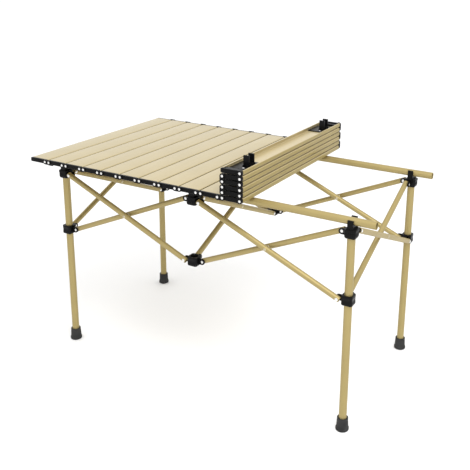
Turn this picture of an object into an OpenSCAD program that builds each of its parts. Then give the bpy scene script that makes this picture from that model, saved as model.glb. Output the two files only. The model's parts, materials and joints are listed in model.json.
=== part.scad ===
// Folding side table: a slatted roll-up aluminium top over two loose rails, carried by a
// scissor frame of four tube legs. The origin is on the floor, under the middle of the table.
// +X runs along the rails, +Y from front to back, +Z up. All lengths are in millimetres.
// The right-hand end of the top is folded back on itself as a stack of six slats.

/* [Frame] */
// Distance between the legs along the table's length
leg_spacing_x = 790; // [700:10:860]
// Outer diameter of a leg tube
leg_d = 18; // [16:0.5:20]
// Wall of the leg, rail and brace tubes
tube_wall = 1.2; // [0.8:0.1:2]
// Height of the upper brace pivots
top_pivot_z = 472; // [460:1:480]
// Height of the lower brace pivots
low_pivot_z = 320.5; // [300:0.5:340]
// Outer diameter of a brace tube
brace_d = 13; // [11:0.5:13]
// Distance from a leg's or hub's axis to the pivots on its ears
pivot_reach = 22; // [22:0.5:26]
// Diameter of the rivets that hold the braces
rivet_d = 4; // [3:0.5:5]

/* [Connectors and feet] */
// Width across the flats of the top connectors and hubs
body_w = 27; // [26:0.5:27]
// Height of the top connectors and hubs
body_h = 20; // [20:1:26]
// Width across the flats of a slider
slider_w = 26; // [25:0.5:26]
// Height of a slider and of a lower hub
slider_h = 22; // [18:1:26]
// Thickness of an ear
ear_t = 3.4; // [2.5:0.1:3.6]
// Diameter of the round boss at an ear's end
ear_d = 14; // [11:0.5:15]
// Height of a foot
foot_h = 31; // [25:1:40]
// Diameter of a foot on the floor
foot_d = 30; // [26:1:34]
// Diameter of a foot at its top
foot_top_d = 25; // [23:1:28]

/* [Rails] */
// Outer diameter of a rail
rail_d = 17; // [16:0.5:18]
// How far a rail's axis lies inside the line of the legs
rail_inset = 2; // [0:0.5:3]
// Width of a rail cradle along the rail
cradle_w = 13; // [10:1:18]
// Thickness of a cradle's arms
cradle_arm = 4; // [3:0.5:5]

/* [Table top] */
// Distance from one slat to the next
slat_pitch = 56.2; // [56:0.1:56.4]
// Gap between neighbouring slats
slat_gap = 2.2; // [2:0.1:2.4]
// Depth of a slat, from its top face to the edge of its flanges
slat_h = 10.4; // [10:0.1:10.4]
// Radius of a slat's long edges
slat_edge_r = 3; // [2.8:0.1:3.4]
// Thickness of a slat's top
slat_wall = 1.4; // [1:0.1:2]
// Thickness of the flange down each long edge of a slat
flange_t = 2.2; // [1.8:0.1:2.6]
// Gap between the rails and the slats, which the clips hold above them
seat_gap = 6; // [0.5:0.5:7]
// Length of a slat's aluminium, without its end caps
slat_len = 510; // [480:1:520]
// How far an end cap stands out of the slat
cap_len = 5; // [5:1:10]
// Thickness of a link plate
link_t = 2; // [1.5:0.1:2.5]
// Distance between the two rivets of a link plate
link_len = 12.4; // [12.4:0.1:12.8]

/* [Clips] */
// Width of a clip's prongs along the rail
clip_w = 14; // [10:1:16]
// How far a clip's prongs stand out below the last slat
clip_reach = 19; // [17:0.5:20]
// Thickness of a prong
prong_t = 3.6; // [3:0.1:4.2]

/* [Hidden] */
$fn = 48;

// The bays along the length and across the table are equal, so all braces are one length.
leg_x = leg_spacing_x / 2;
leg_y = leg_x / 2;
bay_span = leg_x - 2 * pivot_reach;
pivot_drop = top_pivot_z - low_pivot_z;
brace_len = norm([bay_span, pivot_drop]);
brace_tilt = atan2(pivot_drop, bay_span);

// A brace runs beside the ears, so the two braces of a cross pass each other.
fit_gap = 0.1;
move_gap = 0.3;
brace_offset = ear_t / 2 + move_gap + brace_d / 2;
brace_overhang = 5;
hole_d = rivet_d + 2 * fit_gap;
head_d = 7.6;
head_h = 1.5;
tail_h = 1.1;
washer_d = 10;

// Heights of the top connector and everything above it
body_bottom_z = top_pivot_z - body_h / 2;
body_top_z = top_pivot_z + body_h / 2;
socket_floor_z = body_top_z - 4;
edge_cut = 4.5;
slider_cut = 4;
rail_bottom_z = body_top_z + 7.1;
rail_z = rail_bottom_z + rail_d / 2;
rail_y = leg_y - rail_inset;
slat_bottom_z = rail_z + rail_d / 2 + seat_gap;
slat_mid_z = slat_bottom_z + slat_h / 2;

// The rails are as long as the unfolded top.
slat_count = 16;
flat_slats = 11;
slat_w = slat_pitch - slat_gap;
channel_w = slat_w - 2 * flange_t;
rail_len = (slat_count - 1) * slat_pitch + slat_w;
stack_x = (flat_slats - (slat_count + 1) / 2) * slat_pitch;

// The rivet nearest each long edge sits half a link's length, less half the gap, inside it.
pin_x = slat_w / 2 - (link_len - slat_gap) / 2;
cap_end_y = slat_len / 2 + cap_len;
plug_len = 16;
pin_d = 3.2;
pin_len = 9;
pin_head_d = 6;
pin_head_h = 1;
link_r = 6;
// Gap that keeps a plate, and the head on it, from touching its neighbour
link_gap = 0.05;

tube_gold = [0.78, 0.68, 0.46];
slat_gold = [0.88, 0.83, 0.70];
plastic_black = [0.10, 0.10, 0.10];
rubber_grey = [0.20, 0.20, 0.20];
rivet_silver = [0.80, 0.80, 0.80];

// ---- Shared shapes ----

// Round tube along +Z
module tube(d, len) {
  difference() {
    cylinder(d = d, h = len);
    translate([0, 0, -1]) cylinder(d = d - 2 * tube_wall, h = len + 2);
  }
}

// Square with cut corners
module cut_square(w, cut) {
  h = w / 2;
  c = h - cut;
  polygon([[h, -c], [h, c], [c, h], [-c, h], [-h, c], [-h, -c], [-c, -h], [c, -h]]);
}

// Moulded block, narrowed at its lower edge
module moulded_block(w, h, cut) {
  intersection() {
    linear_extrude(h) cut_square(w, cut);
    union() {
      cylinder(r1 = w / 2 - 1, r2 = w / 2 + 4, h = 5);
      translate([0, 0, 5]) cylinder(r = w / 2 + 4, h = h);
    }
  }
}

// Flat ear towards +X with a round boss and a rivet hole across it, centred on z = 0
module ear() {
  rotate([90, 0, 0]) difference() {
    union() {
      translate([pivot_reach, 0, -ear_t / 2]) cylinder(d = ear_d, h = ear_t);
      translate([slider_w / 2 - 2, -ear_d / 2, -ear_t / 2])
        cube([pivot_reach - slider_w / 2 + 2, ear_d, ear_t]);
    }
    translate([pivot_reach, 0, -ear_t]) cylinder(d = hole_d, h = 2 * ear_t);
  }
}

// The same ear pointing along a compass angle
module ears(angles) {
  for (a = angles) rotate([0, 0, a]) ear();
}

// U-shaped seat for a rail; inward is +1 or -1, the Y direction of the table's middle
module cradle(inward) {
  slot = rail_d + 2 * move_gap;
  outer_top = rail_bottom_z + 0.75 * rail_d;
  inner_top = rail_bottom_z + rail_d - 0.4;
  seat_z = rail_bottom_z - move_gap;
  translate([0, inward * rail_inset, 0]) {
    translate([-cradle_w / 2, -slot / 2 - 1, body_top_z - 1])
      cube([cradle_w, slot + 2, seat_z - body_top_z + 1]);
    for (side = [-1, 1]) {
      top = side == inward ? inner_top : outer_top;
      translate([-cradle_w / 2, side * (slot + cradle_arm) / 2 - cradle_arm / 2, body_top_z - 1])
        cube([cradle_w, cradle_arm, top - body_top_z + 1]);
    }
  }
}

// Domed rivet head on the +Z side of z = 0
module rivet_head(d, h) {
  ball_r = (d * d / 4 + h * h) / (2 * h);
  intersection() {
    translate([0, 0, h - ball_r]) sphere(r = ball_r);
    cylinder(d = d, h = h);
  }
}

// Rivet along Z with a domed head at each end
module rivet(d, z0, z1, head_diameter, head_height) {
  translate([0, 0, z0]) cylinder(d = d, h = z1 - z0);
  translate([0, 0, z1]) rivet_head(head_diameter, head_height);
  translate([0, 0, z0]) rotate([180, 0, 0]) rivet_head(head_diameter, head_height);
}

// Brace along +X from pivot to pivot, beside the plane z = 0 of the ears, with its rivets.
// One brace of each cross also holds the middle rivet, whose washer keeps the two apart.
module brace(holds_middle) {
  outer_z = brace_offset + brace_d / 2;
  translate([0, 0, brace_offset]) difference() {
    translate([-brace_overhang, 0, 0]) rotate([0, 90, 0])
      tube(brace_d, brace_len + 2 * brace_overhang);
    for (x = [0, brace_len / 2, brace_len])
      translate([x, 0, -brace_d]) cylinder(d = hole_d, h = 2 * brace_d);
  }
  for (x = [0, brace_len]) translate([x, 0, 0])
    rivet(rivet_d, -ear_t / 2 - fit_gap, outer_z, head_d, tail_h);
  if (holds_middle) translate([brace_len / 2, 0, 0]) {
    rivet(rivet_d, -outer_z, outer_z, head_d, head_h);
    translate([0, 0, -ear_t / 2]) cylinder(d = washer_d, h = ear_t);
  }
}

// A side's own plane: X runs to the right as seen from outside, Y up and Z outwards
module on_side(angle, distance) {
  rotate([90, 0, angle]) translate([0, 0, distance]) children();
}

// Outer brace of a bay: from the left node's top pivot to the right node's lower pivot
module outer_brace(angle, distance, bay_left, holds_middle) {
  color(tube_gold) on_side(angle, distance)
    translate([bay_left + pivot_reach, top_pivot_z, 0]) rotate([0, 0, -brace_tilt])
      brace(holds_middle);
}

// Inner brace of a bay: from the left node's lower pivot to the right node's top pivot
module inner_brace(angle, distance, bay_left, holds_middle) {
  color(tube_gold) on_side(angle, distance)
    translate([bay_left + pivot_reach, low_pivot_z, 0]) rotate([180, 0, brace_tilt])
      brace(holds_middle);
}

// ---- Frame ----

module at_leg(side_x, side_y) {
  translate([side_x * leg_x, side_y * leg_y, 0]) children();
}

// The compass angles of the two ears that point from a leg to its neighbours
function leg_ears(side_x, side_y) = [side_x < 0 ? 0 : 180, side_y < 0 ? 90 : -90];

module leg(side_x, side_y) {
  bottom_z = 5;
  color(tube_gold) at_leg(side_x, side_y)
    translate([0, 0, bottom_z]) tube(leg_d, socket_floor_z - bottom_z);
}

module foot(side_x, side_y) {
  socket_z = 5;
  rim_h = 6;
  color(rubber_grey) at_leg(side_x, side_y) difference() {
    union() {
      cylinder(d1 = foot_d - 2, d2 = foot_d, h = 1);
      translate([0, 0, 1]) cylinder(d = foot_d, h = rim_h - 1);
      translate([0, 0, rim_h]) cylinder(d1 = foot_d - 1.5, d2 = foot_top_d, h = foot_h - rim_h);
    }
    translate([0, 0, socket_z]) cylinder(d = leg_d + 2 * fit_gap, h = foot_h);
  }
}

module top_connector(side_x, side_y) {
  color(plastic_black) at_leg(side_x, side_y) {
    difference() {
      translate([0, 0, body_bottom_z]) moulded_block(body_w, body_h, edge_cut);
      translate([0, 0, body_bottom_z - 1])
        cylinder(d = leg_d + 2 * fit_gap, h = socket_floor_z - body_bottom_z + 1);
    }
    cradle(-side_y);
    difference() {
      translate([0, 0, top_pivot_z]) ears(leg_ears(side_x, side_y));
      cylinder(d = body_w - 1, h = body_top_z);
    }
  }
}

module slider(side_x, side_y) {
  bore_d = leg_d + 2 * fit_gap;
  color(plastic_black) at_leg(side_x, side_y) translate([0, 0, low_pivot_z]) difference() {
    union() {
      translate([0, 0, -slider_h / 2]) moulded_block(slider_w, slider_h, slider_cut);
      ears(leg_ears(side_x, side_y));
    }
    translate([0, 0, -slider_h]) cylinder(d = bore_d, h = 2 * slider_h);
  }
}

module top_hub(side_y) {
  color(plastic_black) translate([0, side_y * leg_y, 0]) {
    translate([0, 0, body_bottom_z]) moulded_block(body_w, body_h, edge_cut);
    cradle(-side_y);
    translate([0, 0, top_pivot_z]) ears([0, 180, -90 * side_y]);
  }
}

module bottom_hub(side_y) {
  pocket_d = leg_d;
  pocket_floor = -slider_h / 2 + 5;
  color(plastic_black) translate([0, side_y * leg_y, low_pivot_z]) difference() {
    union() {
      translate([0, 0, -slider_h / 2]) moulded_block(slider_w, slider_h, slider_cut);
      ears([0, 180, -90 * side_y]);
    }
    translate([0, 0, pocket_floor]) cylinder(d = pocket_d, h = slider_h);
  }
}

module rail(side_y) {
  color(tube_gold) translate([-rail_len / 2, side_y * rail_y, rail_z])
    rotate([0, 90, 0]) tube(rail_d, rail_len);
}

// ---- Table top: each slat's own axes are its middle, with its top face up ----

// Rectangle with round corners, centred on the origin
module round_box(w, h, r) {
  square([w - 2 * r, h], center = true);
  square([w, h - 2 * r], center = true);
  for (x = [-1, 1], y = [-1, 1]) translate([x * (w / 2 - r), y * (h / 2 - r)]) circle(r = r);
}

// Extrudes an outline drawn in X and Z along Y, from y0 to y1
module along_y(y0, y1) {
  translate([0, y1, 0]) rotate([90, 0, 0]) linear_extrude(y1 - y0) children();
}

// Channel section: a flat top with a flange down each long edge
module slat() {
  color(slat_gold) difference() {
    along_y(-slat_len / 2, slat_len / 2) round_box(slat_w, slat_h, slat_edge_r);
    translate([-channel_w / 2, -slat_len, -slat_h])
      cube([channel_w, 2 * slat_len, slat_h + slat_h / 2 - slat_wall]);
  }
}

// Moulded cap in each end of a slat; it plugs into the channel and carries the link rivets
module end_caps() {
  plug_w = channel_w - 2 * fit_gap;
  plug_h = slat_h - slat_wall - 2.5;
  recess_w = 2 * pin_x - 10;
  recess_h = slat_h - 3;
  color(plastic_black) for (turn = [0, 180]) rotate([0, 0, turn]) difference() {
    union() {
      along_y(slat_len / 2, cap_end_y) round_box(slat_w, slat_h, slat_edge_r);
      translate([-plug_w / 2, slat_len / 2 - plug_len, slat_h / 2 - slat_wall - plug_h - fit_gap])
        cube([plug_w, plug_len + 1, plug_h]);
    }
    translate([-recess_w / 2, slat_len / 2 + 1.5, -slat_h])
      cube([recess_w, cap_len - 3, slat_h / 2 + recess_h]);
    for (x = [-pin_x, pin_x]) translate([x, cap_end_y - pin_len, 0])
      rotate([-90, 0, 0]) cylinder(d = pin_d + 2 * fit_gap, h = pin_len + 1);
  }
}

// Link plates at both ends of the slats, from a rivet at the origin to one at +X
module link_plates() {
  hole = pin_d + 2 * fit_gap;
  plate_y = cap_end_y + link_gap;
  color(plastic_black) for (y = [-plate_y - link_t, plate_y])
    translate([0, y, 0]) rotate([-90, 0, 0]) difference() {
      union() {
        for (x = [0, link_len]) translate([x, 0, 0]) cylinder(r = link_r, h = link_t);
        translate([0, -link_r, 0]) cube([link_len, 2 * link_r, link_t]);
      }
      for (x = [0, link_len]) translate([x, 0, -1]) cylinder(d = hole, h = link_t + 2);
    }
}

// The four rivets of a pair of link plates
module link_rivets() {
  head_y = cap_end_y + 2 * link_gap + link_t;
  color(rivet_silver) for (x = [0, link_len], turn = [90, -90])
    translate([x, 0, 0]) rotate([turn, 0, 0]) {
      translate([0, 0, cap_end_y - pin_len + 0.5])
        cylinder(d = pin_d, h = head_y - cap_end_y + pin_len - 0.5);
      translate([0, 0, head_y]) rivet_head(pin_head_d, pin_head_h);
    }
}

// Clip near each end of a slat: a plate inside the channel and two prongs astride the rail.
// offset_x is where the prongs stand across the slat, and reach how far they stand out of it.
module rail_clips(offset_x, reach) {
  plate_t = 2.5;
  plate_w = channel_w - 1;
  plate_len = 62;
  rivet_y = 22;
  plate_top = slat_h / 2 - slat_wall;
  grip = rail_d + 2 * move_gap;
  pad_bottom = -slat_h / 2 + 0.3;
  for (side_y = [-1, 1]) translate([0, side_y * rail_y, 0]) {
    color(plastic_black) difference() {
      union() {
        translate([-plate_w / 2, -plate_len / 2, plate_top - plate_t])
          cube([plate_w, plate_len, plate_t]);
        translate([offset_x - clip_w / 2, -grip / 2 - prong_t, pad_bottom])
          cube([clip_w, grip + 2 * prong_t, plate_top - pad_bottom]);
        for (y = [-grip / 2 - prong_t, grip / 2])
          translate([offset_x - clip_w / 2, y, -slat_h / 2 - reach])
            cube([clip_w, prong_t, reach + slat_h / 2]);
      }
      for (y = [-rivet_y, rivet_y])
        translate([offset_x, y, plate_top - 2 * plate_t]) cylinder(d = hole_d, h = 3 * plate_t);
    }
    color(rivet_silver) for (y = [-rivet_y, rivet_y])
      translate([offset_x, y, plate_top - plate_t - link_gap]) rotate([180, 0, 0]) {
        translate([0, 0, -plate_t]) cylinder(d = rivet_d, h = plate_t);
        rivet_head(head_d - 1, tail_h);
      }
  }
}

// Places a slat that lies flat; number 1 is at the left-hand end
module flat_place(number) {
  translate([(number - (slat_count + 1) / 2) * slat_pitch, 0, slat_mid_z]) children();
}

// Places a slat of the stack, above the last flat one; every other slat is upside down
module stack_place(number) {
  level = number - flat_slats;
  translate([stack_x, 0, slat_mid_z + level * link_len])
    rotate([0, level % 2 * 180, 0]) children();
}

// Places the links that join a slat of the stack to the one above it
module stack_link_place(number) {
  level = number - flat_slats;
  side = level % 2 == 0 ? 1 : -1;
  translate([stack_x + side * pin_x, 0, slat_mid_z + level * link_len])
    rotate([0, -90, 0]) children();
}

module fixed_slats() {
  for (n = [1 : flat_slats]) flat_place(n) slat();
}

module fixed_end_caps() {
  for (n = [1 : flat_slats]) flat_place(n) end_caps();
}

module fixed_links() {
  for (n = [1 : flat_slats - 1]) flat_place(n) translate([pin_x, 0, 0]) link_plates();
}

module fixed_link_rivets() {
  for (n = [1 : flat_slats - 1]) flat_place(n) translate([pin_x, 0, 0]) link_rivets();
}

// The clips of the first slat reach under the rails.
module left_rail_clips() {
  flat_place(1) rail_clips(-channel_w / 2 + 1 + clip_w / 2, clip_reach + seat_gap);
}

module right_rail_clips() {
  stack_place(slat_count) rail_clips(-6, clip_reach);
}

module stack_links(number) {
  stack_link_place(number) {
    link_plates();
    link_rivets();
  }
}

// ---- Every part, by name ----

leg(-1, -1);  // front_left_leg
leg(1, -1);  // front_right_leg
leg(-1, 1);  // back_left_leg
leg(1, 1);  // back_right_leg
foot(-1, -1);  // front_left_foot
foot(1, -1);  // front_right_foot
foot(-1, 1);  // back_left_foot
foot(1, 1);  // back_right_foot
top_connector(-1, -1);  // front_left_top_connector
top_connector(1, -1);  // front_right_top_connector
top_connector(-1, 1);  // back_left_top_connector
top_connector(1, 1);  // back_right_top_connector
slider(-1, -1);  // front_left_slider
slider(1, -1);  // front_right_slider
slider(-1, 1);  // back_left_slider
slider(1, 1);  // back_right_slider
top_hub(-1);  // front_top_hub
top_hub(1);  // back_top_hub
bottom_hub(-1);  // front_bottom_hub
bottom_hub(1);  // back_bottom_hub
outer_brace(0, leg_y, -leg_x, false);  // front_left_outer_brace
inner_brace(0, leg_y, -leg_x, true);  // front_left_inner_brace
outer_brace(0, leg_y, 0, true);  // front_right_outer_brace
inner_brace(0, leg_y, 0, false);  // front_right_inner_brace
outer_brace(180, leg_y, -leg_x, false);  // back_right_outer_brace
inner_brace(180, leg_y, -leg_x, true);  // back_right_inner_brace
outer_brace(180, leg_y, 0, true);  // back_left_outer_brace
inner_brace(180, leg_y, 0, false);  // back_left_inner_brace
outer_brace(90, 0, -leg_y, true);  // middle_outer_brace
inner_brace(90, 0, -leg_y, false);  // middle_inner_brace
outer_brace(-90, leg_x, -leg_y, false);  // left_end_outer_brace
inner_brace(-90, leg_x, -leg_y, true);  // left_end_inner_brace
outer_brace(90, leg_x, -leg_y, true);  // right_end_outer_brace
inner_brace(90, leg_x, -leg_y, false);  // right_end_inner_brace
rail(-1);  // front_rail
rail(1);  // back_rail
fixed_slats();
fixed_end_caps();
fixed_links();
fixed_link_rivets();
left_rail_clips();
stack_place(12) slat();  // slat_12
stack_place(13) slat();  // slat_13
stack_place(14) slat();  // slat_14
stack_place(15) slat();  // slat_15
stack_place(16) slat();  // slat_16
stack_place(12) end_caps();  // slat_12_end_caps
stack_place(13) end_caps();  // slat_13_end_caps
stack_place(14) end_caps();  // slat_14_end_caps
stack_place(15) end_caps();  // slat_15_end_caps
stack_place(16) end_caps();  // slat_16_end_caps
stack_links(11);  // links_11
stack_links(12);  // links_12
stack_links(13);  // links_13
stack_links(14);  // links_14
stack_links(15);  // links_15
right_rail_clips();
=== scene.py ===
"""Looks of the folding side table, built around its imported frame.

Outlines and profiles are drawn in millimetres; meshes and places are in metres.
"""
import json
import math

import bmesh
import bpy
from mathutils import Matrix, Vector


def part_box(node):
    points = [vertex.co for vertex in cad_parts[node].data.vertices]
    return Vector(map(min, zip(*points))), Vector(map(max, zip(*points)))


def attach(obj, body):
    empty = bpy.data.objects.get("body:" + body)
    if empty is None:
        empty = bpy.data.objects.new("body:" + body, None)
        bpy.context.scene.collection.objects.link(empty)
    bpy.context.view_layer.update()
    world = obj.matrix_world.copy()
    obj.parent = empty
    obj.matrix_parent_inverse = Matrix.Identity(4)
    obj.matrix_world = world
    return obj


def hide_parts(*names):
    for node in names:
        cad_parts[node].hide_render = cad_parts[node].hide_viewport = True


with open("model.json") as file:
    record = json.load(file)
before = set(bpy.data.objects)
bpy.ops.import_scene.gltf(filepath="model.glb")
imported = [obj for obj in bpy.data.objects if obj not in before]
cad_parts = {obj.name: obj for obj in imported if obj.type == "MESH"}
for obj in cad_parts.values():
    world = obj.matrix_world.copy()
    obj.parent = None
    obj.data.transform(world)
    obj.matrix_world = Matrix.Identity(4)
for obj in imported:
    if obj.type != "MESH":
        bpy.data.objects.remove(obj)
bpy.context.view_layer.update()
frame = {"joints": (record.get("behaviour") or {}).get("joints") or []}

MM = 0.001
SMOOTH_ANGLE = math.radians(38)

# ---- Sizes and places, taken from the frame ----

pivots = {j["name"]: Vector(j["pos_m"]) for j in frame["joints"] if "pos_m" in j}


def middle(node):
    """Middle of a CAD node's box, in metres"""
    low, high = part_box(node)
    return (low + high) / 2


def extent(node):
    """Size of a CAD node's box, in millimetres"""
    low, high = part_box(node)
    return (high - low) / MM


LEG_X = middle("front_right_leg").x
LEG_Y = middle("back_right_leg").y
LEG_R = extent("front_right_leg").x / 2
LEG_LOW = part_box("front_right_leg")[0].z
LEG_LEN = extent("front_right_leg").z
TOP_Z = pivots["frame_fold"].z
LOW_Z = pivots["front_left_slider_pivot"].z
REACH = (LEG_X - pivots["front_right_leg_pivot"].x) / MM
BAY_SPAN = LEG_X - 2 * REACH * MM
BRACE_LEN = math.hypot(BAY_SPAN, TOP_Z - LOW_Z) / MM
BRACE_TILT = math.atan2(TOP_Z - LOW_Z, BAY_SPAN)

# Sizes of the braces, connectors and their rivets, in millimetres
TUBE_WALL = 1.2
BRACE_R = 6.5
BRACE_OVERHANG = 5
EAR_T = 3.4
EAR_R = 7
EAR_ROOT = 11
BRACE_OFFSET = EAR_T / 2 + 0.3 + BRACE_R
BODY_TOP = 10
BODY_W = 27
RIVET_R = 3.8
SHANK_R = 2

RAIL_R = extent("front_rail").z / 2
RAIL_LEN = extent("front_rail").x
RAIL_Y = middle("back_rail").y
RAIL_Z = (middle("back_rail").z - TOP_Z) / MM
RAIL_SLOT = RAIL_R + 0.3

FLAT_SLATS = 11
SLATS = 16
SLAT_W = extent("slat_12").x
SLAT_LEN = extent("slat_12").y
SLAT_H = 10.4
SLAT_WALL = 1.4
FLANGE_T = 2.2
SLAT_PITCH = (extent("fixed_slats").x - SLAT_W) / (FLAT_SLATS - 1)
CAP_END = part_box("slat_12_end_caps")[1].y / MM
LINK_R = extent("links_11").x / 2
LINK_LEN = (pivots["slat_12_pivot"].z - pivots["top_unfold"].z) / MM
LINK_T = 2.0
LINK_RIVET_R = 3.0
LINK_SHANK_R = 1.6
LINK_SHANK_DEPTH = 6
SLAT_Z = pivots["top_unfold"].z
STACK_X = middle("slat_12").x
FIRST_SLAT_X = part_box("fixed_slats")[0].x + SLAT_W / 2 * MM
PIN_X = (pivots["top_unfold"].x - STACK_X) / MM

# How far the clips' prongs stand out of the first slat, and out of the last one on the stack
LEFT_CLIP_REACH = (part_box("fixed_end_caps")[0].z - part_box("left_rail_clips")[0].z) / MM
RIGHT_CLIP_REACH = (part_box("right_rail_clips")[1].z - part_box("slat_16_end_caps")[1].z) / MM
# Where the clips stand along their slats' width
LEFT_CLIP_X = -16.8
RIGHT_CLIP_X = -6.0
CLIP_W = 14.0
PRONG_T = 3.6
CLIP_PLATE_LEN = 62
CLIP_RIVET_Y = 22
# How far a prong's tip hooks in, which is little enough to stay clear of the rail's side
HOOK = 0.4


# ---- Solids ----

def circle(radius, steps=48, x=0.0, y=0.0):
    turn = 2 * math.pi / steps
    return [(x + radius * math.cos(i * turn), y + radius * math.sin(i * turn)) for i in range(steps)]


def arc(x, y, radius, start, end, steps=6):
    """Points along an arc, with its angles in degrees"""
    angles = [math.radians(start + (end - start) * i / steps) for i in range(steps + 1)]
    return [(x + radius * math.cos(a), y + radius * math.sin(a)) for a in angles]


def round_box(w, h, r, steps=6):
    """Rectangle with round corners"""
    x, y = w / 2 - r, h / 2 - r
    return (arc(x, y, r, 0, 90, steps) + arc(-x, y, r, 90, 180, steps)
            + arc(-x, -y, r, 180, 270, steps) + arc(x, -y, r, 270, 360, steps))


def loft(sections):
    """Closed solid through outlines of as many points each, given as (outline, height)"""
    bm = bmesh.new()
    rings = [[bm.verts.new((x, y, z)) for x, y in outline] for outline, z in sections]
    for low, high in zip(rings, rings[1:]):
        for i in range(len(low)):
            j = (i + 1) % len(low)
            bm.faces.new((low[i], low[j], high[j], high[i]))
    bm.faces.new(list(reversed(rings[0])))
    bm.faces.new(rings[-1])
    return bm


def turned(profile, steps=48, ring=False):
    """Solid from (radius, height) points turned about Z; ring closes the profile on itself"""
    bm = bmesh.new()
    rows = []
    for radius, z in profile:
        if radius == 0:
            rows.append([bm.verts.new((0, 0, z))] * steps)
        else:
            rows.append([bm.verts.new((x, y, z)) for x, y in circle(radius, steps)])
    pairs = list(zip(rows, rows[1:]))
    if ring:
        pairs.append((rows[-1], rows[0]))
    for low, high in pairs:
        for i in range(steps):
            j = (i + 1) % steps
            corners = [low[i], low[j], high[j], high[i]]
            unique = list(dict.fromkeys(corners))
            if len(unique) > 2:
                bm.faces.new(unique)
    bmesh.ops.recalc_face_normals(bm, faces=bm.faces)
    return bm


def soften(bm, size, segments=2):
    """Rounds every sharp edge of a solid"""
    edges = [e for e in bm.edges if len(e.link_faces) == 2 and e.calc_face_angle() > SMOOTH_ANGLE]
    bmesh.ops.bevel(bm, geom=edges, offset=size, segments=segments, profile=0.5,
                    affect="EDGES", clamp_overlap=True)
    return bm


def block(low, high, edge=0.4):
    """Box between two corners with softened edges"""
    (x0, y0, z0), (x1, y1, z1) = low, high
    return soften(loft([([(x0, y0), (x1, y0), (x1, y1), (x0, y1)], z) for z in (z0, z1)]), edge)


def moved(bm, x=0.0, y=0.0, z=0.0, turn=None):
    """A solid turned by a matrix and then shifted"""
    bm.transform(Matrix.Translation((x, y, z)) @ (turn or Matrix.Identity(4)))
    return bm


def rotation(degrees, axis):
    return Matrix.Rotation(math.radians(degrees), 4, axis)


# Turns a solid drawn as an outline in X and Z into one that is extruded along Y
ALONG_Y = Matrix(((1, 0, 0, 0), (0, 0, 1, 0), (0, 1, 0, 0), (0, 0, 0, 1)))
# Turns a solid drawn as an outline in Y and Z into one that is extruded along X
ALONG_X = Matrix(((0, 0, 1, 0), (1, 0, 0, 0), (0, 1, 0, 0), (0, 0, 0, 1)))


def mesh_of(bm, name="part"):
    """Blender mesh of a solid, scaled to metres"""
    bm.transform(Matrix.Scale(MM, 4))
    bmesh.ops.recalc_face_normals(bm, faces=bm.faces)
    mesh = bpy.data.meshes.new(name)
    bm.to_mesh(mesh)
    bm.free()
    return shaded(mesh)


def shaded(mesh):
    """Smooth faces with sharp edges kept"""
    mesh.polygons.foreach_set("use_smooth", [True] * len(mesh.polygons))
    mesh.set_sharp_from_angle(angle=SMOOTH_ANGLE)
    return mesh


def together(solids):
    """One bmesh that holds several separate solids"""
    bm = bmesh.new()
    for solid in solids:
        scratch = bpy.data.meshes.new("scratch")
        solid.to_mesh(scratch)
        solid.free()
        bm.from_mesh(scratch)
        bpy.data.meshes.remove(scratch)
    return bm


def fused(name, adds, cuts=()):
    """Mesh of one solid: the adds joined, then the cuts taken out"""
    steps = [("UNION", bm) for bm in adds] + [("DIFFERENCE", bm) for bm in cuts]
    objects = []
    for operation, bm in steps:
        obj = bpy.data.objects.new("scratch", mesh_of(bm))
        bpy.context.scene.collection.objects.link(obj)
        objects.append(obj)
        if len(objects) > 1:
            boolean = objects[0].modifiers.new("join", "BOOLEAN")
            boolean.operation = operation
            boolean.solver = "EXACT"
            boolean.object = obj
    graph = bpy.context.evaluated_depsgraph_get()
    mesh = bpy.data.meshes.new_from_object(objects[0].evaluated_get(graph))
    mesh.name = name
    for obj in objects:
        bpy.data.objects.remove(obj)
    return shaded(mesh)


def fused_solid(name, solids):
    """One solid made of several, to go on with in millimetres"""
    mesh = fused(name, solids)
    bm = bmesh.new()
    bm.from_mesh(mesh)
    bpy.data.meshes.remove(mesh)
    bm.transform(Matrix.Scale(1 / MM, 4))
    return bm


def dome(radius, height, steps=6):
    """Profile of a domed rivet head, from its edge to its middle"""
    ball = (radius * radius + height * height) / (2 * height)
    edge = math.asin(radius / ball)
    angles = [edge * (1 - i / steps) for i in range(steps + 1)]
    return [(ball * math.sin(a), ball * math.cos(a) + height - ball) for a in angles[:-1]] + [(0, height)]


def rivet_head(radius, height, skirt):
    """Domed head over a short cylinder that reaches down to -skirt"""
    return turned([(0, -skirt), (radius, -skirt)] + [(r, z) for r, z in dome(radius, height)], 32)


# ---- Materials ----

def principled(name, **values):
    """Material with one Principled shader; values set its sockets"""
    material = bpy.data.materials.new(name)
    material.use_nodes = True
    shader = material.node_tree.nodes["Principled BSDF"]
    for socket, value in values.items():
        shader.inputs[socket.replace("_", " ")].default_value = value
    return material, material.node_tree.nodes, material.node_tree.links, shader


def object_noise(nodes, links, scale, stretch=(1, 1, 1), detail=4.0):
    """Noise in the piece's own axes, different on each piece"""
    coordinates = nodes.new("ShaderNodeTexCoord")
    mapping = nodes.new("ShaderNodeMapping")
    mapping.inputs["Scale"].default_value = stretch
    info = nodes.new("ShaderNodeObjectInfo")
    spread = nodes.new("ShaderNodeMath")
    spread.operation = "MULTIPLY"
    spread.inputs[1].default_value = 37.0
    noise = nodes.new("ShaderNodeTexNoise")
    noise.noise_dimensions = "4D"
    noise.inputs["Scale"].default_value = scale
    noise.inputs["Detail"].default_value = detail
    links.new(coordinates.outputs["Object"], mapping.inputs["Vector"])
    links.new(mapping.outputs["Vector"], noise.inputs["Vector"])
    links.new(info.outputs["Random"], spread.inputs[0])
    links.new(spread.outputs[0], noise.inputs["W"])
    return noise.outputs["Fac"]


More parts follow.
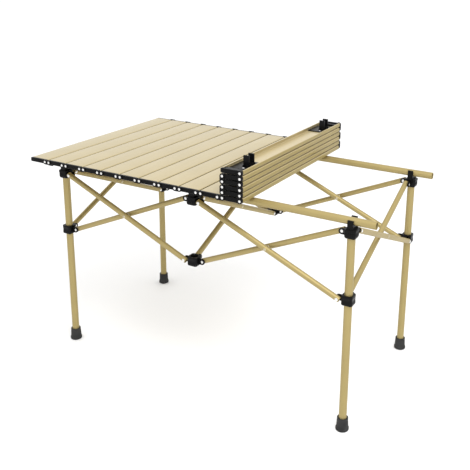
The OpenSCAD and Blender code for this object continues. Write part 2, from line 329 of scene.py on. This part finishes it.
def ramp(nodes, links, value, low, high):
    """Maps a noise's middle range to the range from low to high"""
    mapped = nodes.new("ShaderNodeMapRange")
    mapped.inputs["From Min"].default_value = 0.3
    mapped.inputs["From Max"].default_value = 0.7
    mapped.inputs["To Min"].default_value = low
    mapped.inputs["To Max"].default_value = high
    links.new(value, mapped.inputs["Value"])
    return mapped.outputs["Result"]


def mixed(nodes, links, value, first, second):
    """Colour between two, by a value"""
    mix = nodes.new("ShaderNodeMix")
    mix.data_type = "RGBA"
    mix.inputs[6].default_value = (*first, 1)
    mix.inputs[7].default_value = (*second, 1)
    links.new(value, mix.inputs["Factor"])
    return mix.outputs[2]


def bumped(nodes, links, shader, height, distance, strength=1.0):
    bump = nodes.new("ShaderNodeBump")
    bump.inputs["Distance"].default_value = distance
    bump.inputs["Strength"].default_value = strength
    links.new(height, bump.inputs["Height"])
    links.new(bump.outputs["Normal"], shader.inputs["Normal"])


def anodised(name, light, dark, coat, roughness, grain):
    """Satin anodised aluminium with its drawing grain along one axis"""
    material, nodes, links, shader = principled(
        name, Metallic=0.4, Specular_IOR_Level=0.12, Coat_Weight=coat, Coat_Roughness=0.25)
    clouds = object_noise(nodes, links, 9.0, detail=3.0)
    fine = object_noise(nodes, links, 900.0, stretch=grain, detail=2.0)
    links.new(mixed(nodes, links, ramp(nodes, links, clouds, 0, 1), light, dark), shader.inputs["Base Color"])
    links.new(ramp(nodes, links, fine, roughness - 0.05, roughness + 0.06), shader.inputs["Roughness"])
    bumped(nodes, links, shader, fine, 0.00002, 0.5)
    return material


def moulded(name, light, dark, roughness, grain_scale, grain_depth, gloss):
    """Moulded plastic or rubber with a fine grain and faint clouds in its tone"""
    material, nodes, links, shader = principled(name, Specular_IOR_Level=gloss)
    clouds = object_noise(nodes, links, 60.0, detail=5.0)
    grain = object_noise(nodes, links, grain_scale, detail=2.0)
    links.new(mixed(nodes, links, ramp(nodes, links, clouds, 0, 1), light, dark), shader.inputs["Base Color"])
    links.new(ramp(nodes, links, clouds, roughness - 0.07, roughness + 0.07), shader.inputs["Roughness"])
    bumped(nodes, links, shader, grain, grain_depth)
    return material


def bright_metal(name, colour, roughness):
    """Rivet metal with faint scratches"""
    material, nodes, links, shader = principled(name, Metallic=1.0, Base_Color=(*colour, 1))
    marks = object_noise(nodes, links, 700.0, stretch=(1, 0.15, 1), detail=3.0)
    links.new(ramp(nodes, links, marks, roughness - 0.06, roughness + 0.1), shader.inputs["Roughness"])
    bumped(nodes, links, shader, marks, 0.00002, 0.4)
    return material


GRAIN_ALONG_X = (0.02, 1, 1)
GRAIN_ALONG_Y = (1, 0.015, 1)
TUBE_GOLD = anodised("tube_gold", light=(0.355, 0.28, 0.117), dark=(0.325, 0.256, 0.107),
                     coat=0.15, roughness=0.42, grain=GRAIN_ALONG_X)
SLAT_GOLD = anodised("slat_gold", light=(0.45, 0.37, 0.197), dark=(0.42, 0.345, 0.184),
                     coat=0.45, roughness=0.34, grain=GRAIN_ALONG_Y)
# A slat's long sides are more matt than its face and carry painted shade as a darker colour; the inside of
# its channel is painted lighter, as painted light
MATT_SIDE_PAINTED_SHADE = anodised("matt_side_painted_shade", light=(0.32, 0.251, 0.088), dark=(0.29, 0.228, 0.080),
                     coat=0.3, roughness=0.4, grain=GRAIN_ALONG_Y)
# Painted light: the inside of the channel is coloured lighter than the face, against the shade its flanges
# cast
CHANNEL_PAINTED_LIGHT = anodised("channel_painted_light", light=(0.50, 0.41, 0.22), dark=(0.47, 0.385, 0.205),
                      coat=0.45, roughness=0.34, grain=GRAIN_ALONG_Y)
# Painted shade: the sides of two flat slats that stand close together are coloured near-black for the shade
# in the gap between them
PAINTED_JOINT_SHADE = anodised("painted_joint_shade", light=(0.075, 0.058, 0.026), dark=(0.055, 0.042, 0.020),
                      coat=0.0, roughness=0.6, grain=GRAIN_ALONG_Y)
PLASTIC = moulded("plastic_black", light=(0.0045, 0.0045, 0.0048), dark=(0.0030, 0.0030, 0.0032),
                  roughness=0.32, grain_scale=1500.0, grain_depth=0.00004, gloss=0.10)
RUBBER = moulded("rubber_grey", light=(0.026, 0.026, 0.026), dark=(0.016, 0.016, 0.016),
                 roughness=0.72, grain_scale=900.0, grain_depth=0.00008, gloss=0.3)
SILVER = bright_metal("rivet_silver", (0.75, 0.745, 0.73), roughness=0.28)
# The rivets where two braces cross
DULL_RIVET = bright_metal("dull_rivet", (0.50, 0.44, 0.31), roughness=0.4)
SLOTS = {"tube_gold": TUBE_GOLD, "slat_gold": SLAT_GOLD, "plastic_black": PLASTIC,
         "rubber_grey": RUBBER, "rivet_silver": SILVER}


# ---- Placing pieces ----

def place(name, mesh, slot, body, node, matrix=None):
    """Puts a mesh in the scene as a piece on a body, standing for a CAD node"""
    piece = bpy.data.objects.new(name, mesh)
    bpy.context.scene.collection.objects.link(piece)
    if not mesh.materials:
        mesh.materials.append(SLOTS[slot])
    piece.matrix_world = matrix or Matrix.Identity(4)
    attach(piece, body)
    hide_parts(node)
    return piece


def at(x, y, z, turn=0):
    return Matrix.Translation((x, y, z)) @ rotation(turn, "Z")


def side_axes(angle, distance):
    """A side's own axes: X to the right as seen from outside, Y up and Z outwards"""
    return rotation(angle, "Z") @ rotation(90, "X") @ Matrix.Translation((0, 0, distance))


# ---- Tubes ----

def tube(name, radius, length):
    """Open tube along +X from the origin, with its cut ends dressed"""
    rim = 0.3
    inner = radius - TUBE_WALL
    profile = [(radius - rim, 0), (radius, rim), (radius, length - rim), (radius - rim, length),
               (inner + rim, length), (inner, length - rim), (inner, rim), (inner + rim, 0)]
    return mesh_of(moved(turned(profile, 64, ring=True), turn=rotation(90, "Y")), name)


def make_legs():
    mesh = tube("leg_tube", LEG_R, LEG_LEN)
    for depth, side_y in (("front", -1), ("back", 1)):
        for hand, side_x in (("left", -1), ("right", 1)):
            name = f"{depth}_{hand}_leg"
            stand = Matrix.Translation((side_x * LEG_X, side_y * LEG_Y, LEG_LOW)) @ rotation(-90, "Y")
            place(f"{name}_tube", mesh, "tube_gold", name, name, stand)


def make_rails():
    mesh = tube("rail_tube", RAIL_R, RAIL_LEN)
    for depth in ("front", "back"):
        name = f"{depth}_rail"
        start = middle(name)
        start.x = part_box(name)[0].x
        place(f"{name}_tube", mesh, "tube_gold", name, name, Matrix.Translation(start))


# ---- Braces: X runs from pivot to pivot, and Z out through the tube ----

def brace_rivets(name, holds_middle):
    """Rivets at both ends of a brace, and the one where two braces cross"""
    crest = BRACE_OFFSET + BRACE_R
    solids = []
    for x in (0, BRACE_LEN):
        solids.append(moved(rivet_head(RIVET_R, 1.3, 1.0), x, 0, crest))
        solids.append(moved(turned([(0, 0), (SHANK_R, 0), (SHANK_R, crest), (0, crest)], 24), x, 0, 0))
        solids.append(moved(rivet_head(RIVET_R - 0.2, 1.1, 0.0), x, 0, -EAR_T / 2 - 0.1, rotation(180, "X")))
    if holds_middle:
        x = BRACE_LEN / 2
        solids.append(moved(rivet_head(RIVET_R, 1.5, 1.0), x, 0, crest))
        solids.append(moved(rivet_head(RIVET_R, 1.5, 1.0), x, 0, -crest, rotation(180, "X")))
        shank = [(0, -crest), (SHANK_R, -crest), (SHANK_R, crest), (0, crest)]
        solids.append(moved(turned(shank, 24), x, 0, 0))
        washer = [(0, -EAR_T / 2), (4.6, -EAR_T / 2), (5, -EAR_T / 2 + 0.4), (5, EAR_T / 2 - 0.4),
                  (4.6, EAR_T / 2), (0, EAR_T / 2)]
        solids.append(moved(turned(washer, 32), x, 0, 0))
    mesh = mesh_of(together(solids), name)
    mesh.materials.append(SILVER)
    mesh.materials.append(DULL_RIVET)
    middle_reach = 10
    for face in mesh.polygons:
        from_middle = abs(face.center.x / MM - BRACE_LEN / 2)
        face.material_index = 1 if from_middle < middle_reach else 0
    return mesh


def make_braces():
    """Each bay has an outer brace, down to the right, and an inner one, up to the right."""
    bays = [  # name, the side's angle and distance, the bay's left end, which brace holds the middle rivet
        ("front_left", 0, LEG_Y, -LEG_X, "inner"),
        ("front_right", 0, LEG_Y, 0, "outer"),
        ("back_right", 180, LEG_Y, -LEG_X, "inner"),
        ("back_left", 180, LEG_Y, 0, "outer"),
        ("middle", 90, 0, -LEG_Y, "outer"),
        ("left_end", -90, LEG_X, -LEG_Y, "inner"),
        ("right_end", 90, LEG_X, -LEG_Y, "outer"),
    ]
    tube_mesh = tube("brace_tube", BRACE_R, BRACE_LEN + 2 * BRACE_OVERHANG)
    tube_mesh.transform(Matrix.Translation((-BRACE_OVERHANG * MM, 0, BRACE_OFFSET * MM)))
    rivet_meshes = {held: brace_rivets(f"brace_rivets_{held}", held) for held in (True, False)}
    for bay, angle, distance, left, holder in bays:
        side = side_axes(angle, distance)
        start_x = left + REACH * MM
        outer = side @ Matrix.Translation((start_x, TOP_Z, 0)) @ Matrix.Rotation(-BRACE_TILT, 4, "Z")
        inner = (side @ Matrix.Translation((start_x, LOW_Z, 0)) @ Matrix.Rotation(BRACE_TILT, 4, "Z")
                 @ rotation(180, "X"))
        for layer, matrix in (("outer", outer), ("inner", inner)):
            name = f"{bay}_{layer}_brace"
            place(f"{name}_tube", tube_mesh, "tube_gold", name, name, matrix)
            place(f"{name}_rivets", rivet_meshes[layer == holder], "rivet_silver", name, name, matrix)


# ---- Feet ----

def make_feet():
    height = extent("front_left_foot").z
    rim = extent("front_left_foot").x / 2
    bore = LEG_R + 0.2
    floor = LEG_LOW / MM
    profile = [(0, 0.9), (4.5, 0.9), (5, 0), (7.5, 0), (8, 0.9), (9.5, 0.9), (10, 0), (rim - 2, 0)]
    profile += arc(rim - 2, 2, 2, -90, 0, 4)
    profile += [(rim, 5.6), (rim - 0.4, 6.3), (rim - 1.1, 6.8), (rim - 1.3, 8)]
    profile += [(12.75, height - 4.4), (12.55, height - 3.8), (12.75, height - 3.2), (12.75, height - 0.8)]
    profile += [(12.2, height), (bore + 0.6, height), (bore, height - 0.6), (bore, floor), (0, floor)]
    mesh = mesh_of(turned(profile, 64), "foot")
    for depth, side_y in (("front", -1), ("back", 1)):
        for hand, side_x in (("left", -1), ("right", 1)):
            place(f"{depth}_{hand}_rubber_foot", mesh, "rubber_grey", f"{depth}_{hand}_leg",
                  f"{depth}_{hand}_foot", at(side_x * LEG_X, side_y * LEG_Y, 0))


# ---- Moulded connectors: the origin is on the leg's axis at the pivots' height ----

def moulded_body(sections, corner=5.0):
    """Upright body from (width, height) pairs"""
    return loft([(round_box(w, w, corner * w / BODY_W), z) for w, z in sections])


def ear(angle, free_side):
    """Ear with a round boss; free_side is +1 or -1, the side of the ear that no brace covers"""
    plate = arc(REACH, 0, EAR_R, -90, 90, 12) + [(EAR_ROOT, EAR_R), (EAR_ROOT, -EAR_R)]
    solids = [soften(moved(loft([(plate, -EAR_T / 2), (plate, EAR_T / 2)]), turn=ALONG_Y), 0.35)]
    rib = EAR_T / 2 + 0.8
    ring = [(RIVET_R + 0.5, 0), (RIVET_R + 0.5, 0.7), (RIVET_R + 0.9, 1.1), (EAR_R - 0.7, 1.1),
            (EAR_R - 0.2, 0.6), (EAR_R - 0.2, 0)]
    lift = rotation(-90 * free_side, "X")
    solids.append(moved(turned(ring, 40, ring=True), REACH, free_side * (EAR_T / 2 - 0.1), 0, lift))
    y0, y1 = sorted((0, free_side * rib))
    for z in (-4.2, 4.2):
        solids.append(block((EAR_ROOT, y0, z - 0.8), (REACH - EAR_R + 1.2, y1, z + 0.8), 0.3))
    return [moved(s, turn=rotation(angle, "Z")) for s in solids]


def cradle():
    """U-shaped seat for a rail, its inner arm towards +Y"""
    arm_t, width, inset = 4.0, 13.0, 2.0
    outer, base = RAIL_SLOT + arm_t, BODY_TOP - 1.0
    low_top = RAIL_Z - RAIL_R + 0.75 * 2 * RAIL_R
    high_top = RAIL_Z + RAIL_R - 0.4
    outline = [(-outer, base), (outer, base), (outer, high_top - 0.8), (outer - 0.8, high_top),
               (RAIL_SLOT + 1.2, high_top), (RAIL_SLOT, high_top - 2.0)]
    outline += arc(0, RAIL_Z, RAIL_SLOT, 0, -180, 16)
    outline += [(-RAIL_SLOT, low_top - 1.6), (-RAIL_SLOT - 1.2, low_top), (-outer + 0.8, low_top),
                (-outer, low_top - 0.8)]
    half = width / 2
    seat = soften(moved(loft([(outline, -half), (outline, half)]), turn=ALONG_X), 0.45)
    collar = block((-half - 1.6, -outer - 0.5, base), (half + 1.6, outer + 0.5, BODY_TOP + 2.6), 0.8)
    return [moved(seat, 0, inset, 0), moved(collar, 0, inset, 0)]


def upper_body():
    return moulded_body([
        (22.4, -10), (24.0, -9.3), (25.4, -7.0), (25.4, -6.5), (26.0, -6.1), (26.0, 2.6),
        (25.4, 3.1), (25.4, 3.9), (27.0, 4.5), (27.0, 9.1), (26.2, 10)])


def lower_body():
    return moulded_body([
        (23.8, -11), (25.2, -10.3), (26.0, -8.6), (26.0, -4.0), (25.3, -3.5), (25.3, 4.5),
        (26.0, 5.0), (26.0, 9.9), (25.2, 11)])


def bore(radius, low, high, flare=0.8):
    """Cutter for a leg's bore, flared where it comes out"""
    return turned([(0, low), (radius + flare, low), (radius, low + flare), (radius, high - flare),
                   (radius + flare, high), (0, high)], 48)


def side_ribs(angles, low, high):
    """Upright ribs on the sides of a body that carry no ear"""
    solids = []
    for angle in angles:
        for y in (-5, 0, 5):
            rib = block((BODY_W / 2 - 2, y - 0.7, low), (BODY_W / 2 + 0.15, y + 0.7, high), 0.3)
            solids.append(moved(rib, turn=rotation(angle, "Z")))
    return solids


def make_connectors():
    """Top connectors and sliders; a corner's parts, turned by half a turn, fit the far corner"""
    pairs = [  # angles of the ears, angles of the plain sides, and the two corners
        ((0, 90), (180, 270), ("front_left", "back_right")),
        ((180, 90), (0, 270), ("front_right", "back_left")),
    ]
    for ear_angles, plain_angles, corners in pairs:
        ears = [s for a in ear_angles for s in ear(a, 1)]
        leg_socket = turned([(0, -11), (LEG_R + 0.9, -11), (LEG_R + 0.1, -9.2), (LEG_R + 0.1, 6), (0, 6)])
        top = fused(f"top_connector_{corners[0]}",
                    [upper_body()] + ears + cradle() + side_ribs(plain_angles, -5, 2), [leg_socket])
        ears = [s for a in ear_angles for s in ear(a, -1)]
        slider = fused(f"slider_{corners[0]}", [lower_body()] + ears, [bore(LEG_R + 0.1, -11.8, 11.8)])
        for corner, turn in zip(corners, (0, 180)):
            x = LEG_X if corner.endswith("right") else -LEG_X
            y = LEG_Y if corner.startswith("back") else -LEG_Y
            place(f"{corner}_top_socket", top, "plastic_black", f"{corner}_leg",
                  f"{corner}_top_connector", at(x, y, TOP_Z, turn))
            place(f"{corner}_slide_collar", slider, "plastic_black", f"{corner}_slider",
                  f"{corner}_slider", at(x, y, LOW_Z, turn))


def make_hubs():
    angles = (0, 90, 180)
    socket = turned([(0, -11), (LEG_R - 1, -11), (LEG_R - 1.6, -4), (0, -4)])
    top = fused("top_hub", [upper_body()] + [s for a in angles for s in ear(a, 1)] + cradle()
                + side_ribs((270,), -5, 2), [socket])
    pocket = turned([(0, -6), (LEG_R, -6), (LEG_R, 10.2), (LEG_R + 1, 11.8), (0, 11.8)])
    low = fused("bottom_hub", [lower_body()] + [s for a in angles for s in ear(a, -1)], [pocket])
    for depth, side, turn in (("front", -1, 0), ("back", 1, 180)):
        place(f"{depth}_top_hub_body", top, "plastic_black", f"{depth}_top_hub", f"{depth}_top_hub",
              at(0, side * LEG_Y, TOP_Z, turn))
        place(f"{depth}_bottom_hub_body", low, "plastic_black", f"{depth}_bottom_hub",
              f"{depth}_bottom_hub", at(0, side * LEG_Y, LOW_Z, turn))


# ---- Table top: a slat's own axes are its middle, with its top face up ----

def slat_outline():
    """Channel section with round upper edges and a bead along each flange"""
    half, top, low = SLAT_W / 2, SLAT_H / 2, -SLAT_H / 2
    edge_r, foot_r, bead = 3.0, 1.2, 0.9
    inner = half - FLANGE_T
    right = arc(half - edge_r, top - edge_r, edge_r, 90, 0, 6)
    right += arc(half - foot_r, low + foot_r, foot_r, 0, -90, 3)
    right += [(inner - bead + 0.5, low), (inner - bead, low + 0.5), (inner - bead, low + 1.6),
              (inner, low + 2.3), (inner, top - SLAT_WALL - 0.8), (inner - 0.8, top - SLAT_WALL)]
    return right + [(-x, z) for x, z in reversed(right)]


def slat_mesh(name, shade_painted_sides=()):
    """A slat with matt sides that carry a darker painted shade; those that stand close to the next flat slat
    carry a near-black painted shade.
    The inside of the channel is painted a little lighter than its face, as painted light."""
    half = SLAT_LEN / 2
    mesh = mesh_of(moved(loft([(slat_outline(), -half), (slat_outline(), half)]), turn=ALONG_Y), name)
    for material in (SLAT_GOLD, MATT_SIDE_PAINTED_SHADE, PAINTED_JOINT_SHADE, CHANNEL_PAINTED_LIGHT):
        mesh.materials.append(material)
    for face in mesh.polygons:
        side = 1 if face.center.x > 0 else -1
        # Painted shade: long side faces take the darker side colour, or the near-black one where they face
        # the next flat slat
        if face.normal.x * side > 0.9 and abs(face.center.x) > (SLAT_W / 2 - 1) * MM:
            face.material_index = 2 if side in shade_painted_sides else 1
        # Painted light: the downward faces inside the channel take a lighter colour
        elif face.normal.z < -0.9 and face.center.z > 0:
            face.material_index = 3
    return mesh


def cap_solids():
    """One moulded cap on the +Y end of a slat"""
    start = SLAT_LEN / 2
    plug_w = SLAT_W - 2 * FLANGE_T - 0.4
    outline = round_box(SLAT_W, SLAT_H, 2.6)
    front = round_box(SLAT_W - 1.2, SLAT_H - 1.2, 2.0)
    shell = loft([(outline, start), (outline, CAP_END - 0.6), (front, CAP_END)])
    plug_top = SLAT_H / 2 - SLAT_WALL - 0.1
    solids = [moved(shell, turn=ALONG_Y),
              block((-plug_w / 2, start - 16, plug_top - 6.5), (plug_w / 2, start + 1, plug_top), 0.5)]
    clear = PIN_X - LINK_R - 1.2
    for z in (-3.1, 0, 3.1):
        solids.append(block((-clear, CAP_END - 1, z - 0.6), (clear, CAP_END + 0.5, z + 0.6), 0.25))
    return solids


def caps_mesh():
    """The caps on both ends of a slat"""
    one_end = cap_solids()
    other_end = [moved(s, turn=rotation(180, "Z")) for s in cap_solids()]
    caps = [fused_solid(f"cap_{index}", solids) for index, solids in enumerate((one_end, other_end))]
    return mesh_of(together(caps), "end_caps")


def stadium(length, radius):
    return arc(length, 0, radius, -90, 90, 12) + arc(0, 0, radius, 90, 270, 12)


def plates_mesh():
    """Link plates at both ends of the slats, from a rivet at the origin to one at +X"""
    solids = []
    for y in (CAP_END + 0.05, -CAP_END - 0.05 - LINK_T):
        outline = stadium(LINK_LEN, LINK_R)
        plate = moved(loft([(outline, y), (outline, y + LINK_T)]), turn=ALONG_Y)
        solids.append(soften(plate, 0.5))
    return mesh_of(together(solids), "link_plates")


def pins_mesh():
    """The four rivets of a pair of link plates"""
    seat = CAP_END + 0.1 + LINK_T
    foot = CAP_END - LINK_SHANK_DEPTH
    solids = []
    for x in (0, LINK_LEN):
        for turn in (-90, 90):
            head = moved(rivet_head(LINK_RIVET_R, 1.1, 0.5), 0, 0, seat)
            shank = turned([(0, foot), (LINK_SHANK_R, foot), (LINK_SHANK_R, seat), (0, seat)], 24)
            for solid in (head, shank):
                solids.append(moved(solid, x, 0, 0, rotation(turn, "X")))
    return mesh_of(together(solids), "link_rivets")


def flat_place(number):
    return Matrix.Translation((FIRST_SLAT_X + (number - 1) * SLAT_PITCH * MM, 0, SLAT_Z))


def stack_place(number):
    level = number - FLAT_SLATS
    return (Matrix.Translation((STACK_X, 0, SLAT_Z + level * LINK_LEN * MM))
            @ rotation(180 * (level % 2), "Y"))


def stack_link_place(number):
    level = number - FLAT_SLATS
    side = 1 if level % 2 == 0 else -1
    return (Matrix.Translation((STACK_X + side * PIN_X * MM, 0, SLAT_Z + level * LINK_LEN * MM))
            @ rotation(-90, "Y"))


def make_top():
    slat, caps, plates, pins = slat_mesh("slat"), caps_mesh(), plates_mesh(), pins_mesh()
    first, inner, last = (slat_mesh(f"slat_{k}", sides)
                          for k, sides in (("first", (1,)), ("inner", (-1, 1)), ("last", (-1,))))
    flat = [first] + [inner] * (FLAT_SLATS - 2) + [last]
    for n in range(1, FLAT_SLATS + 1):
        place(f"flat_slat_{n}", flat[n - 1], "slat_gold", "table_top", "fixed_slats", flat_place(n))
        place(f"flat_slat_{n}_caps", caps, "plastic_black", "table_top", "fixed_end_caps", flat_place(n))
    for n in range(1, FLAT_SLATS):
        joint = flat_place(n) @ Matrix.Translation((PIN_X * MM, 0, 0))
        place(f"flat_link_{n}", plates, "plastic_black", "table_top", "fixed_links", joint)
        place(f"flat_link_{n}_rivets", pins, "rivet_silver", "table_top", "fixed_link_rivets", joint)
    for n in range(FLAT_SLATS + 1, SLATS + 1):
        body = f"slat_{n}"
        place(f"stack_slat_{n}", slat, "slat_gold", body, f"slat_{n}", stack_place(n))
        place(f"stack_slat_{n}_caps", caps, "plastic_black", body, f"slat_{n}_end_caps", stack_place(n))
    for n in range(FLAT_SLATS, SLATS):
        body = f"links_{n}"
        place(f"stack_link_{n}", plates, "plastic_black", body, body, stack_link_place(n))
        place(f"stack_link_{n}_rivets", pins, "rivet_silver", body, body, stack_link_place(n))


# ---- Clips ----

def clip_solids(offset_x, rail_y, reach):
    """One clip under a slat: plate, pad and two hooked prongs astride the rail"""
    low = -SLAT_H / 2
    plate_top = SLAT_H / 2 - SLAT_WALL - 0.02
    plate_w = SLAT_W - 2 * FLANGE_T - 1
    tip = low - reach
    outer = RAIL_SLOT + PRONG_T
    prong = [(outer, plate_top - 0.4), (outer, tip + 1.4), (outer - 1, tip),
             (RAIL_SLOT + 0.6, tip), (RAIL_SLOT - HOOK, tip + 1.0), (RAIL_SLOT - HOOK, tip + 2.6),
             (RAIL_SLOT, tip + 5), (RAIL_SLOT, plate_top - 0.4)]
    x0, x1 = offset_x - CLIP_W / 2, offset_x + CLIP_W / 2
    plate_y = CLIP_PLATE_LEN / 2
    solids = [block((-plate_w / 2, -plate_y, plate_top - 2.5), (plate_w / 2, plate_y, plate_top), 0.5)]
    solids.append(block((x0, -outer, low + 0.3), (x1, outer, plate_top - 0.2), 0.5))
    for side in (-1, 1):
        outline = [(side * y, z) for y, z in prong]
        solids.append(soften(moved(loft([(outline, x0), (outline, x1)]), turn=ALONG_X), 0.35))
        y0, y1 = sorted((side * (outer - 0.5), side * (outer + 5)))
        for x in (x0 + 1.6, x1 - 1.6):
            solids.append(block((x - 0.8, y0, low + 2), (x + 0.8, y1, plate_top - 2), 0.3))
    return [moved(s, 0, rail_y, 0) for s in solids]


def clip_meshes(name, offset_x, reach):
    """Mesh of the two clips of a slat, and mesh of their rivets"""
    rail_y = RAIL_Y / MM
    clips = [fused_solid(f"{name}_{index}", clip_solids(offset_x, y, reach))
             for index, y in enumerate((-rail_y, rail_y))]
    seat = SLAT_H / 2 - SLAT_WALL - 2.55
    rivets = [moved(rivet_head(3.3, 1.2, 0.6), offset_x, y + dy, seat, rotation(180, "X"))
              for y in (-rail_y, rail_y) for dy in (-CLIP_RIVET_Y, CLIP_RIVET_Y)]
    return mesh_of(together(clips), name), mesh_of(together(rivets), f"{name}_rivets")


def make_clips():
    for node, body, offset_x, reach, matrix in (
            ("left_rail_clips", "table_top", LEFT_CLIP_X, LEFT_CLIP_REACH, flat_place(1)),
            ("right_rail_clips", f"slat_{SLATS}", RIGHT_CLIP_X, RIGHT_CLIP_REACH, stack_place(SLATS))):
        clips, rivets = clip_meshes(node, offset_x, reach)
        place(f"{node}_moulding", clips, "plastic_black", body, node, matrix)
        place(f"{node}_rivets", rivets, "rivet_silver", body, node, matrix)


# ---- Studio ----

def make_floor():
    """Pale sheet, wide enough to reach past the picture at every angle"""
    half_width = 14.0
    mesh = bpy.data.meshes.new("floor")
    bm = bmesh.new()
    bmesh.ops.create_grid(bm, x_segments=8, y_segments=8, size=half_width)
    bm.to_mesh(mesh)
    bm.free()
    floor = bpy.data.objects.new("floor", mesh)
    bpy.context.scene.collection.objects.link(floor)
    material, nodes, links, shader = principled("floor_white", Roughness=0.7)
    clouds = object_noise(nodes, links, 0.8, detail=2.0)
    links.new(mixed(nodes, links, ramp(nodes, links, clouds, 0, 1), (0.90, 0.90, 0.90), (0.88, 0.88, 0.88)),
              shader.inputs["Base Color"])
    mesh.materials.append(material)


def area_light(name, place_at, target, size, power):
    light = bpy.data.lights.new(name, "AREA")
    light.shape = "DISK"
    light.size = size
    light.energy = power
    lamp = bpy.data.objects.new(name, light)
    lamp.location = place_at
    lamp.rotation_euler = (Vector(target) - Vector(place_at)).to_track_quat("-Z", "Y").to_euler()
    bpy.context.scene.collection.objects.link(lamp)


def make_light():
    world = bpy.data.worlds.new("studio")
    bpy.context.scene.world = world
    world.use_nodes = True
    background = world.node_tree.nodes["Background"]
    background.inputs["Color"].default_value = (1, 1, 1, 1)
    background.inputs["Strength"].default_value = 1.2
    area_light("overhead", (1.0, -0.9, 2.2), target=(0.3, -0.2, 0.4), size=1.4, power=30)
    area_light("front_right", (1.6, -2.4, 1.8), target=(0, 0, 0.35), size=1.4, power=7)


def make_camera():
    """At the height and angle of someone who stands in front of the table's right-hand end"""
    stand = Matrix.Translation((0.9031, -1.4929, 1.0328))
    turn_left, look_down, lean = 27.84, 15.58, 1.09
    data = bpy.data.cameras.new("camera")
    data.lens = 54.85
    data.sensor_width = 36
    data.shift_x, data.shift_y = -0.0916, -0.1809
    data.clip_end = 60
    camera = bpy.data.objects.new("camera", data)
    camera.matrix_world = (stand @ rotation(turn_left, "Z") @ rotation(90 - look_down, "X")
                           @ rotation(lean, "Z"))
    bpy.context.scene.collection.objects.link(camera)
    bpy.context.scene.camera = camera
    bpy.context.scene.view_settings.view_transform = "Standard"


make_legs()
make_feet()
make_rails()
make_braces()
make_connectors()
make_hubs()
make_top()
make_clips()
make_floor()
make_light()
make_camera()
